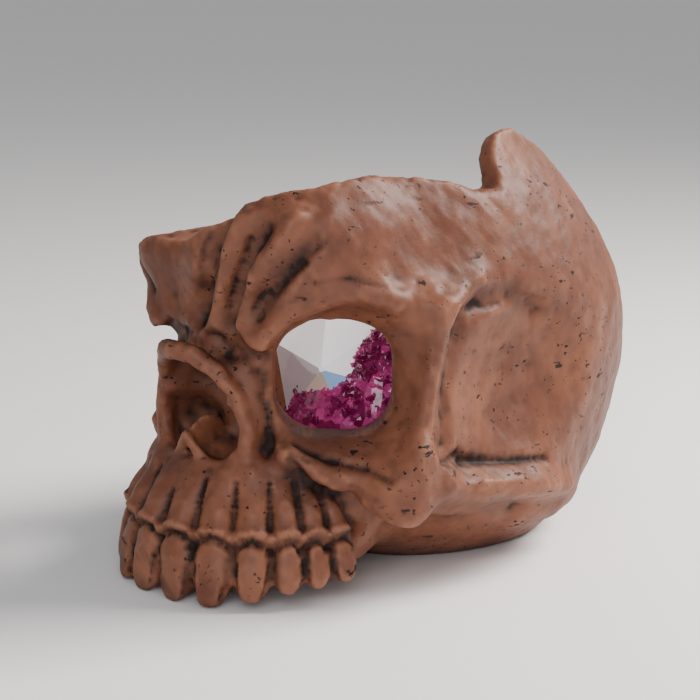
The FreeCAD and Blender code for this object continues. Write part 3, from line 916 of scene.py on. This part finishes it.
@dataclass(frozen=True)
class SkullCasting:
    """The one-piece resin casting: open cranium, face, tooth row and eye windows.

    Attributes:
        teeth: The tooth row.
        ring: The nose opening's raised edge.
        hollow: The nose hollow.
        window: The left eye window; the right one mirrors it.
        node: The CAD node that the casting stands for.
        middle: The cranium's middle.
        rim_above: Height above which a face that looks up belongs to the broken rim.
        rough_face: Face size of the blocked-out clay.
        fine_face: Face size of the finished clay.
        most_triangles: What the skin is thinned to.
    """

    teeth: ToothRow = ToothRow()
    ring: NoseRing = NoseRing()
    hollow: NoseHollow = NoseHollow()
    window: EyeWindow = EyeWindow()
    node: str = "skull_casting"
    middle: Triple = (0, 3, 0)
    rim_above: float = 78
    rough_face: float = 1.2
    fine_face: float = 0.8
    most_triangles: int = 188000

    def outside(self, skin: Surface) -> np.ndarray:
        """Tell the outer skin from the bowl's.

        Args:
            skin: The surface.

        Returns:
            1 on the outer skin and 0 in the bowl.
        """
        away = skin.points - self.middle
        away[:, 2] = 0
        reach = np.linalg.norm(away, axis=1)
        facing = (away * skin.normals).sum(1) / np.maximum(reach, 1)
        return smoothstep(facing, -0.35, 0.05)

    def rim(self, skin: Surface, upright: float, spread: int, gain: float) -> np.ndarray:
        """Find the broken rim.

        Args:
            skin: The surface.
            upright: How straight up a rim face looks at least, 0 to 1.
            spread: How far the field is blurred.
            gain: How much it is raised after that.

        Returns:
            1 on the rim, falling to 0 away from it.
        """
        found = (skin.normals[:, 2] > upright) & (skin.points[:, 2] > self.rim_above)
        return np.clip(gain * skin.blur(found.astype(float), spread), 0, 1)

    def keep_crisp(self, skin: Surface) -> np.ndarray:
        """Where edges stay sharp: the broken rim, the foot and the eye windows.

        Args:
            skin: The surface.

        Returns:
            1 where the clay may be worked and near 0 where it stays crisp.
        """
        height = skin.points[:, 2]
        rim = self.rim(skin, 0.8, 3, 2.2)
        peak = smoothstep(height, 94, 97) * smoothstep(skin.points[:, 1], -14, -8)
        foot = 1 - smoothstep(height, 1.0, 5.0)
        beside = np.abs(skin.points[:, 0]) - self.window.across
        along = skin.points[:, 1] - self.window.along
        heading = math.radians(self.window.heading)
        sideways = beside * math.cos(heading) + along * math.sin(heading)
        upright = height - self.window.height
        window = 1 - smoothstep(np.maximum(np.abs(sideways), np.abs(upright)), 17, 20)
        return 1 - np.clip(1.2 * rim + peak + foot + 0.8 * window, 0, 1)

    def blocked_out(self) -> Thing:
        """Melt the plain lumps of the casting together.

        Returns:
            The blended clay.
        """
        clay = copy_of(self.node, "skull_clay")
        remesh(clay, self.rough_face)
        skin = Surface(clay)
        outer = self.outside(skin)
        work = self.keep_crisp(skin) * outer
        skin.relax(70, 0.6 * work, 0.15 * work)
        even = 0.05 + 0.25 * work
        skin.relax(3, even, even)
        for place, radius in SOFT_SPOTS:
            self.soften(skin, place, radius, 40)
        skin.draw(LARGE_FORMS)
        self.carve_nose(skin)
        skin.relax(5, 0.35 * work, 0.3 * work)
        return clay

    def soften(self, skin: Surface, place: Triple, radius: float, rounds: int) -> None:
        """Smooth one spot on both sides until its lumps run together.

        Args:
            skin: The surface.
            place: The spot's middle on the left side.
            radius: How far it reaches.
            rounds: How many times to smooth.
        """
        mirrored = np.abs(skin.points[:, 0]), skin.points[:, 1], skin.points[:, 2]
        gap = sum((values - middle) ** 2 for values, middle in zip(mirrored, place))
        share = np.exp(-gap / radius ** 2) * self.outside(skin)
        skin.relax(rounds, 0.6 * share, 0.6 * share)

    def carve_nose(self, skin: Surface) -> None:
        """Open the nose hollow wider and deeper from the front.

        Args:
            skin: The surface.
        """
        across, along, height = np.abs(skin.points[:, 0]), skin.points[:, 1], skin.points[:, 2]
        hollow = self.hollow
        half_x, middle, half_z = hollow.upper
        upper = np.hypot(across / half_x, (height - middle) / half_z)
        half_x, middle, half_z = hollow.lobe
        lower = np.hypot((across - hollow.lobe_across) / half_x, (height - middle) / half_z)
        share = np.minimum(upper, lower)
        floor = hollow.mouth + hollow.deep * np.sqrt(np.clip(1 - share ** 2, 0, 1))
        inside = (share < 1) & (along < hollow.behind)
        skin.points[inside, 1] = np.maximum(along, floor)[inside]
        skin.write()

    def tooth(self, angle: float, edge: float, half_width: float, tall: float,
              side: int) -> Thing:
        """One tooth: a rounded barrel that leans out at its biting edge.

        Args:
            angle: Its place round the arch in degrees.
            edge: Height of its biting edge.
            half_width: Half its width.
            tall: Its height.
            side: 1 for left or -1 for right.

        Returns:
            The tooth.
        """
        barrel = ball((0, 0, 0), (METRE, METRE, METRE))
        for vertex in barrel.data.vertices:
            unit = np.array(vertex.co) / MM / METRE
            x, y, up = unit / (np.abs(unit) ** 2.8).sum() ** (1 / 2.8)
            narrow = 1 - 0.14 * max(up, 0) ** 1.5 - 0.1 * max(-up, 0) ** 2
            outwards = y * narrow * self.teeth.thick - 1.6 * up * up * (up < 0)
            vertex.co = Vector((x * narrow * half_width * 0.96,
                                outwards + self.teeth.lean * up,
                                up * 0.5 * tall)) * MM
        across, along = self.teeth.at(angle, side)
        slope = math.atan2(self.teeth.half_y * math.sin(math.radians(angle)),
                           self.teeth.half_x * math.cos(math.radians(angle)))
        barrel.rotation_euler = (0, 0, side * slope)
        barrel.location = (across * MM, along * MM, (edge + 0.5 * tall) * MM)
        settle(barrel)
        return barrel

    def root(self, angle: float, half_width: float, side: int) -> list[Thing]:
        """The root ridge above a tooth, as balls; side is 1 for left or -1 for right."""
        wide = 0.86 * half_width
        return rod(self.teeth.run(angle, self.teeth.roots, side),
                   [wide, 0.96 * wide, 0.8 * wide, 0.55 * wide])

    def modelled_parts(self) -> list[Thing]:
        """Teeth, roots, nose edge and spine as clay.

        Returns:
            The pieces of clay.
        """
        pieces = []
        for side in (1, -1):
            for angle, edge, half_width, tall in self.teeth.places:
                pieces.append(self.tooth(angle, edge, half_width, tall, side))
                pieces += self.root(angle, half_width, side)
            path = [(side * x, y, z) for x, y, z in self.ring.path]
            pieces += rod(path, self.ring.thickness)
        pieces.append(ball((0, -65, 39.5), (0.9, 6.5, 5)))
        pieces.append(ball((-24, -57, 40.5), (4.5, 5, 8)))
        return pieces

    def gaps(self) -> list[Stroke]:
        """Grooves between neighbouring teeth and roots, and the scalloped gum line; the grooves are
        darkened with dark wash and painted shade.

        Returns:
            The strokes of the tooth row.
        """
        angles = [place[0] for place in self.teeth.places]
        middles = [0.5 * (first + second) for first, second in zip(angles, angles[1:])]
        lines = []
        for middle in (*middles, 0.0):
            paired = middle > 0
            neck = self.teeth.neck_gap if paired else self.teeth.neck_gap[:-1]
            lines.append(Stroke(self.teeth.run(middle, self.teeth.bite_gap), 0.9, 1.3, 0.9, paired))
            lines.append(Stroke(self.teeth.run(middle, neck), 0.75, 1.2, 0.9, paired))
        for angle, _, half_width, _ in self.teeth.places:
            span = math.degrees(half_width / 32)
            scallop = [(angle + share * span, self.teeth.gum - drop) for share, drop in
                       ((-1, 2.2), (-0.55, 0.5), (0, 0), (0.55, 0.5), (1, 2.2))]
            under = tuple((*self.teeth.at(turn, 1, -3.6), height - 1.0) for turn, height in scallop)
            lip = tuple((*self.teeth.at(turn, 1, -2.2), height + 1.2) for turn, height in scallop)
            lines.append(Stroke(under, 0.95, 1.5, 0.95))
            lines.append(Stroke(lip, 1.1, -1.0))
        return lines

    def build(self) -> Thing:
        """Sculpt the casting.

        Returns:
            The finished casting.
        """
        clay = self.blocked_out()
        skull = join([clay, *self.modelled_parts()], "skull_sculpted")
        remesh(skull, self.fine_face)
        skin = Surface(skull)
        work = self.keep_crisp(skin)
        low_face = 1 - smoothstep(skin.points[:, 2], 19, 24)
        fill = 0.5 * work * (1 - 0.9 * low_face) + 0.03
        wear = 0.2 * work * (1 - 0.8 * low_face) + 0.03
        skin.relax(5, fill, wear)
        strokes = self.gaps() + FINE_GROOVES
        skin.draw(strokes)
        self.roughen(skin)
        even = 0.04 + 0.2 * work
        skin.relax(1, even, even)
        low, high = (np.array(corner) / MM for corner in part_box(self.node))
        skin.points = np.clip(skin.points, low, high)
        skin.write()
        self.cut_windows(skull)
        faces = sum(len(face.vertices) - 2 for face in skull.data.polygons)
        LOG.info("skull skin has %d triangles before thinning", faces)
        apply_modifier(skull, "DECIMATE", ratio=min(1.0, self.most_triangles / faces))
        if skull.data.validate():
            LOG.info("a doubled or empty face was taken out of the skull's skin")
        self.paint_marks(Surface(skull), strokes + LARGE_FORMS)
        choose(skull)
        bpy.ops.object.shade_smooth()
        skull.data.materials.clear()
        skull.data.materials.append(PaintedResinFinish().build())
        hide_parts(self.node)
        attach(skull, Body.SKULL.value)
        return skull

    def cut_windows(self, skull: Thing) -> None:
        """Cut both eye windows again with clean edges.

        Args:
            skull: The sculpted casting.
        """
        cut = self.window
        for side in (1, -1):
            deselect()
            bpy.ops.mesh.primitive_cube_add(size=1)
            cutter = bpy.context.object
            cutter.scale = (cut.side * MM, cut.depth * MM, cut.side * MM)
            settle(cutter)
            corners = cutter.data.vertices
            lengthways = [corners[edge.vertices[0]].co.y * corners[edge.vertices[1]].co.y < 0
                          for edge in cutter.data.edges]
            weights = cutter.data.attributes.new("bevel_weight_edge", "FLOAT", "EDGE")
            weights.data.foreach_set("value", np.array(lengthways, np.float32))
            apply_modifier(cutter, "BEVEL", width=cut.corner * MM, segments=10,
                           limit_method="WEIGHT")
            heading = side * math.radians(cut.heading)
            cutter.rotation_euler = (0, 0, heading)
            reach = cut.depth / 2 - cut.inside
            cutter.location = Vector((side * cut.across - reach * math.sin(heading),
                                      cut.along + reach * math.cos(heading), cut.height)) * MM
            settle(cutter)
            apply_modifier(skull, "BOOLEAN", object=cutter, operation="DIFFERENCE",
                           solver="MANIFOLD")
            bpy.data.objects.remove(cutter)

    def roughen(self, skin: Surface) -> None:
        """Add the modeller's slight unevenness and the broken rim's bite marks.

        Args:
            skin: The surface.
        """
        outer = self.outside(skin)
        height = skin.points[:, 2]
        uneven = 0.22 * ripple(skin.points, 9, 3) + 0.12 * ripple(skin.points, 3.4, 5)
        bites = np.minimum(0, ripple(skin.points, 5, 11)) * 0.5 * self.rim(skin, 0.7, 4, 2)
        still = smoothstep(height, 1, 6)
        skin.push((uneven * outer + bites) * still)

    def paint_marks(self, skin: Surface, strokes: list[Stroke]) -> None:
        """Store where dark wash and painted shade lie, and where high spots are rubbed light.

        Args:
            skin: The surface.
            strokes: Strokes that hold dark wash and painted shade.
        """
        fine = skin.hollowness(4)
        wide = skin.hollowness(24)
        outer = self.outside(skin)
        # Hollows darken: part real dark wash, part painted shade.
        wash_and_shade = smoothstep(fine, 0.035, 0.2) + 0.95 * smoothstep(wide, 0.12, 0.9)
        wash_and_shade = np.maximum(wash_and_shade * (0.25 + 0.75 * outer), skin.stroke_wash_and_shade(strokes))
        # Painted shade along the foot, where the casting meets the floor.
        under = 1 - smoothstep(skin.points[:, 2], 0.3, 3.0)
        wash_and_shade = np.maximum(wash_and_shade, 0.6 * under * outer)
        rub = smoothstep(-fine, 0.04, 0.25) * 0.5 + smoothstep(-wide, 0.2, 1.4) * 0.35
        skin.store("wash_and_shade", np.clip(skin.blur(wash_and_shade, 1), 0, 1))
        skin.store("rub", np.clip(rub * outer, 0, 0.8))


# ---------------------------------------------------------------- crystal insert

@dataclass(frozen=True)
class Mound:
    """One heap of glass crystals on the tray, half an ellipsoid.

    Attributes:
        across: Its middle along X.
        along: Its middle along Y.
        half_x: Half its width.
        half_y: Half its length.
        rise: How far it rises.
        foot: Height of its foot.
    """

    across: float
    along: float
    half_x: float
    half_y: float
    rise: float
    foot: float = 30.5

    def surface_at(self, share: float, turn: float) -> tuple[np.ndarray, np.ndarray]:
        """Find a place on the heap.

        Args:
            share: How far out from the top, 0 to 1.
            turn: Direction in radians.

        Returns:
            The place and the outward direction there.
        """
        x = share * math.cos(turn)
        y = share * math.sin(turn)
        up = math.sqrt(max(0.0, 1 - share * share))
        place = np.array((self.across + self.half_x * x, self.along + self.half_y * y,
                          self.foot + self.rise * up))
        out = np.array((x / self.half_x, y / self.half_y, up / self.rise))
        return place, out / np.linalg.norm(out)


@dataclass(frozen=True)
class Druse:
    """The crystals grown over two mounds.

    Attributes:
        heap: The large mound.
        shoulder: The small mound beside it, which has every third crystal.
        chips: Number of crystals.
        small: Half size of the smallest crystal.
        large: Half size of the largest.
        spread: How far out from a mound's top they reach, 0 to 1.
        jagged: How far a crystal's corners stray.
        seed: Which random heap.
    """

    heap: Mound = Mound(1.0, -6.0, 24.0, 27.0, 30.0)
    shoulder: Mound = Mound(13, -15, 11, 13, 31)
    chips: int = 2200
    small: float = 1.0
    large: float = 1.9
    spread: float = 0.985
    jagged: float = 0.28
    seed: int = 23

    def chip_shape(self) -> tuple[np.ndarray, np.ndarray]:
        """Take the plain shape of one crystal.

        Returns:
            Its corners on a unit ball, and its faces.
        """
        deselect()
        bpy.ops.mesh.primitive_ico_sphere_add(subdivisions=1, radius=1)
        plain = bpy.context.object
        shape = np.array([vertex.co for vertex in plain.data.vertices])
        faces = np.array([list(face.vertices) for face in plain.data.polygons])
        bpy.data.objects.remove(plain)
        return shape, faces

    def build(self) -> Thing:
        """Make the core and close-set broken crystals all over it.

        Returns:
            The druse.
        """
        core = copy_of("crystal_bed", "crystal_druse")
        chance = np.random.default_rng(self.seed)
        chips = []
        for number in range(self.chips):
            share = math.sqrt(chance.uniform(0, 1)) * self.spread
            turn = chance.uniform(0, 2 * math.pi)
            mound = self.heap if number % 3 else self.shoulder
            place, out = mound.surface_at(share, turn)
            half = chance.uniform(self.small, self.large)
            sunk = out * half * chance.uniform(-0.1, 0.35)
            chips.append((place - sunk, half, chance.normal(size=3)))
        shape, faces = self.chip_shape()
        points, corners = [], []
        for number, (place, half, spin) in enumerate(chips):
            jagged = shape * (1 + self.jagged * chance.uniform(-1, 1, size=(len(shape), 1)))
            stretch = chance.uniform(0.7, 1.25, size=3)
            turned = np.cross(spin / np.linalg.norm(spin), jagged * stretch) + 0.35 * jagged
            points.append(place + half * turned)
            corners.append(faces + number * len(shape))
        mesh = bpy.data.meshes.new("crystal_druse_chips")
        mesh.from_pydata((np.concatenate(points) * MM).tolist(), [],
                         np.concatenate(corners).tolist())
        grown = bpy.data.objects.new("crystal_druse_chips", mesh)
        bpy.context.scene.collection.objects.link(grown)
        whole = join([core, grown], "crystal_druse")
        self.keep_on_tray(Surface(whole))
        mend(whole)
        bpy.ops.object.shade_flat()
        return whole

    def keep_on_tray(self, skin: Surface) -> None:
        """Keep the crystals over the tray and above it.

        Args:
            skin: The druse's surface.
        """
        low, high = (np.array(corner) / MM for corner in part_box("crystal_tray"))
        skin.points[:, :2] = np.clip(skin.points[:, :2], low[:2], high[:2])
        skin.points[:, 2] = np.maximum(skin.points[:, 2], high[2])
        skin.write()


class CrystalInsert:
    """The lift-out insert's druse and large cut gem, on the tray shown as designed."""

    def gem(self) -> Thing:
        """The large cut gem, each facet painted with the light it takes from its direction: lit white
        on top and to the right, a painted blue reflection low on the right, painted grey shade on the
        left, a painted warm reflection on the left facets that face down, and a painted glow on all.

        Returns:
            The gem.
        """
        gem = copy_of("crystal_point_large", "gem_cut")
        # Painted light on one clear crystal: a lit copy, a shaded copy and two painted reflections,
        # each with a painted glow.
        painted_facet_light = (("bright", "#ffffff", 0.5), ("grey", "#b0a3a6", 0.3), ("warm_reflection", "#c9b6a4", 0.35),
                  ("blue", "#8fb8e0", 0.45))
        gem.data.materials.clear()
        for name, colour, painted_glow in painted_facet_light:
            finish = PlainFinish(f"lead crystal, {name} facet", colour, 0.05, 4.0, 0.002, 0.2,
                                 varied=0.02, painted_glow=painted_glow)
            gem.data.materials.append(finish.build())
        bright, grey, warm_reflection, blue = range(len(painted_facet_light))
        for face in gem.data.polygons:
            out = face.normal
            if out.z > 0.45:
                face.material_index = bright
            elif out.x > 0.3:
                face.material_index = bright if out.z > 0 else blue
            else:
                face.material_index = grey if out.z > -0.1 else warm_reflection
        choose(gem)
        bpy.ops.object.shade_flat()
        return gem

    def build(self) -> list[Thing]:
        """Make the insert.

        Returns:
            The finished pieces.
        """
        druse = Druse().build()
        druse.data.materials.clear()
        druse.data.materials.append(FINISHES["magenta_glass"].build())
        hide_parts("crystal_bed")
        gem = self.gem()
        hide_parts("crystal_point_large")
        for piece in (druse, gem):
            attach(piece, Body.INSERT.value)
        return [druse, gem]


# ---------------------------------------------------------------- small parts and room

class SmallParts:
    """The nodes that are shown as designed: air line, cradle, screws and tray."""

    def build(self) -> int:
        """Give each shown node its material.

        Returns:
            The number of nodes finished.
        """
        made: dict[str, bpy.types.Material] = {}
        slots = {part["node"]: part["material_slot"] for part in frame["record"]["subparts"]}
        count = 0
        for node, piece in frame["nodes"].items():
            slot = slots[node]
            if slot not in FINISHES:
                continue
            if slot not in made:
                made[slot] = FINISHES[slot].build()
            piece.data.materials.clear()
            piece.data.materials.append(made[slot])
            count += 1
        return count


@dataclass(frozen=True)
class Lamp:
    """One soft square light: the way to it from the ornament, its distance, side and power."""

    name: str
    way: Triple
    reach: float
    size: float
    watts: float
    colour: str

    def build(self, target: Vector) -> None:
        """Hang the light and aim it.

        Args:
            target: The place it is aimed at.
        """
        light = bpy.data.lights.new(self.name, "AREA")
        light.size = self.size * MM
        light.energy = self.watts
        light.color = linear(self.colour)[:3]
        aim(bpy.data.objects.new(self.name, light), target, Vector(self.way).normalized(),
            self.reach)


def aim(piece: Thing, target: Vector, way: Vector, reach: float) -> None:
    """Put a light or camera round the ornament and turn it inwards.

    Args:
        piece: The light or camera.
        target: The place it looks at.
        way: Direction from there to it, one unit long.
        reach: Its distance.
    """
    bpy.context.scene.collection.objects.link(piece)
    piece.location = (target + way * reach) * MM
    piece.rotation_euler = (-way).to_track_quat("-Z", "Y").to_euler()


@dataclass(frozen=True)
class Studio:
    """Floor, lights and camera. Only the floor's side is in metres.

    Attributes:
        target: Where the camera looks.
        azimuth: Camera direction round from the front, in degrees.
        rise: Camera height above the level, in degrees.
        floor_gap: How far the floor lies below the foot.
        sky: Colour of the light from all round.
    """

    target: Triple = (0, -16.1, 54.4)
    azimuth: float = 48.0
    rise: float = 11.5
    distance: float = 620.0
    lens: float = 119.57
    sensor: float = 36
    floor_metres: float = 40
    floor_gap: float = 0.02
    sky: str = "#f6f6f8"
    sky_strength: float = 0.46
    lamps: tuple[Lamp, ...] = (
        Lamp("key_behind_right", (0.45, 0.75, 0.8), 620, 320, 9.0, "#fff8f2"),
        Lamp("fill_side", (0.75, -0.8, 0.45), 900, 600, 4.0, "#fbfaff"))

    def build(self) -> None:
        """Set up the room."""
        deselect()
        bpy.ops.mesh.primitive_plane_add(size=self.floor_metres,
                                         location=(0, 0, -self.floor_gap * MM))
        floor = bpy.context.object
        floor.name = "studio_floor"
        floor.data.materials.append(
            PlainFinish("pale studio card", "#f4f3f2", 0.85, 2.0, 0.0, varied=0.0).build())
        world = bpy.data.worlds.new("studio")
        world.use_nodes = True
        backdrop = world.node_tree.nodes["Background"]
        backdrop.inputs["Color"].default_value = linear(self.sky)
        backdrop.inputs["Strength"].default_value = self.sky_strength
        bpy.context.scene.world = world
        target = Vector(self.target)
        for lamp in self.lamps:
            lamp.build(target)
        azimuth, rise = math.radians(self.azimuth), math.radians(self.rise)
        way = Vector((math.sin(azimuth) * math.cos(rise), -math.cos(azimuth) * math.cos(rise),
                      math.sin(rise)))
        data = bpy.data.cameras.new("camera")
        data.lens = self.lens
        data.sensor_width = self.sensor
        camera = bpy.data.objects.new("camera", data)
        aim(camera, target, way, self.distance)
        bpy.context.scene.camera = camera


def main() -> None:
    """Build the looks in order."""
    logging.basicConfig(level=logging.INFO, format="%(message)s")
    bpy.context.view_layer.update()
    skull = SkullCasting().build()
    LOG.info("%s: %d faces", skull.name, len(skull.data.polygons))
    for piece in CrystalInsert().build():
        LOG.info("%s: %d faces", piece.name, len(piece.data.polygons))
    LOG.info("%d CAD nodes finished", SmallParts().build())
    Studio().build()


if __name__ == "__main__":
    main()
